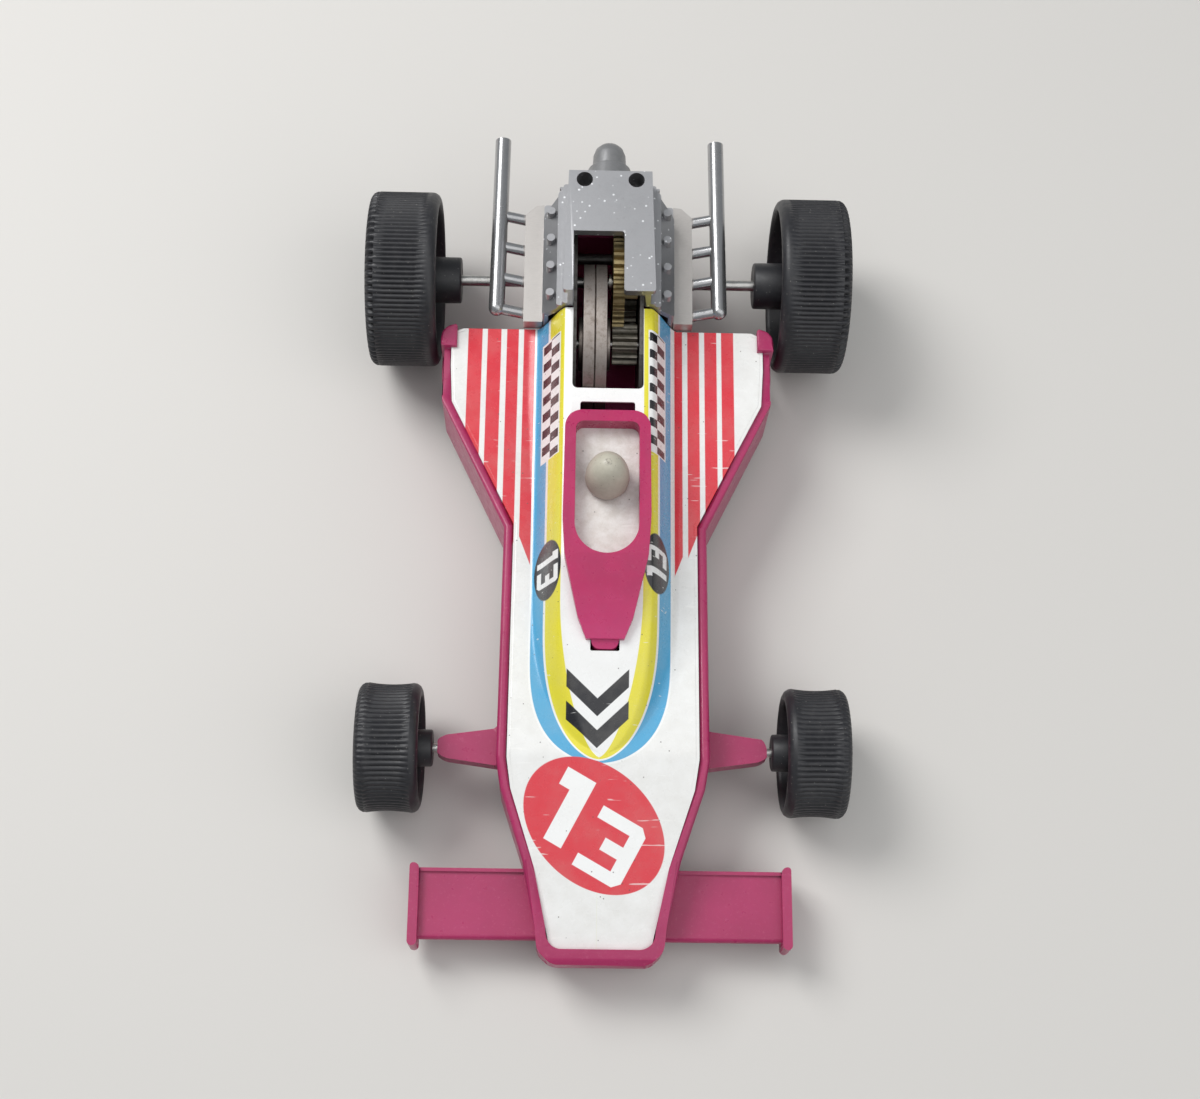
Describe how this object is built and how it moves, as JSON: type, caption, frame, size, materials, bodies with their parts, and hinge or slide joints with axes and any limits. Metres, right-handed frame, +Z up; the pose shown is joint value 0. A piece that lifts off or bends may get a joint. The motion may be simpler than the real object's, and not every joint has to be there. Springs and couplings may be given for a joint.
{
  "type": "friction toy racing car",
  "caption": "Toy racing car with a printed tin body on a plastic chassis, free-running wheels and a geared flywheel friction motor.",
  "frame": {"origin": "on the ground under the middle of the bounding box", "axes": "+Z up, the nose points to -Y, +X to the driver's left"},
  "size_m": [0.102, 0.1758, 0.0453],
  "materials": {
    "magenta_plastic": "semi-gloss moulded plastic",
    "printed_tin": "glossy lithographed tin, scratched at its edges",
    "beige_plastic": "satin",
    "plated_plastic": "dull metallised plastic",
    "grey_plastic": "satin grey",
    "frame_steel": "dull stamped steel",
    "screw_steel": "satin",
    "axle_steel": "drawn steel rod",
    "gear_brass": "dull, greasy",
    "gear_steel": "dull, greasy",
    "worn_steel": "dark worn steel",
    "black_plastic": "satin black moulded plastic"
  },
  "bodies": {
    "car_body": {"chassis": "magenta_plastic", "tin_body": "printed_tin", "cockpit_surround": "magenta_plastic", "driver_head": "beige_plastic", "engine_block": "plated_plastic", "exhaust_left": "plated_plastic", "exhaust_right": "plated_plastic", "gearbox_cover": "grey_plastic", "motor_frame_left": "frame_steel", "motor_frame_right": "frame_steel", "frame_pillars": "frame_steel", "frame_screws": "screw_steel", "axle_bushes": "gear_brass", "idler_post": "axle_steel"},
    "rear_axle_set": {"rear_axle": "axle_steel", "drive_gear": "gear_steel", "rear_wheel_left": "black_plastic", "rear_wheel_right": "black_plastic"},
    "idler_set": {"idler_gear": "gear_brass", "idler_pinion": "gear_brass"},
    "flywheel_set": {"flywheel_shaft": "axle_steel", "flywheel_disc_left": "worn_steel", "flywheel_disc_right": "worn_steel", "flywheel_washers": "worn_steel", "flywheel_pinion": "gear_steel"},
    "front_axle_set": {"front_axle": "axle_steel", "front_wheel_left": "black_plastic", "front_wheel_right": "black_plastic"}
  },
  "joints": [
    {"name": "rear_axle_spin", "type": "hinge", "parent": "car_body", "child": "rear_axle_set", "pos_m": [0, 0.0576, 0.0187], "axis": [1, 0, 0], "continuous": true},
    {"name": "idler_spin", "type": "hinge", "parent": "car_body", "child": "idler_set", "pos_m": [0, 0.05253, 0.02909], "axis": [1, 0, 0], "continuous": true},
    {"name": "flywheel_spin", "type": "hinge", "parent": "car_body", "child": "flywheel_set", "pos_m": [0, 0.0402, 0.0246], "axis": [1, 0, 0], "continuous": true},
    {"name": "front_axle_spin", "type": "hinge", "parent": "car_body", "child": "front_axle_set", "pos_m": [0, -0.0449, 0.0131], "axis": [1, 0, 0], "continuous": true}
  ],
  "couplings": [
    {"joint": "idler_spin", "follows": "rear_axle_spin", "ratio": -3.1111},
    {"joint": "flywheel_spin", "follows": "rear_axle_spin", "ratio": 7.7778}
  ]
}
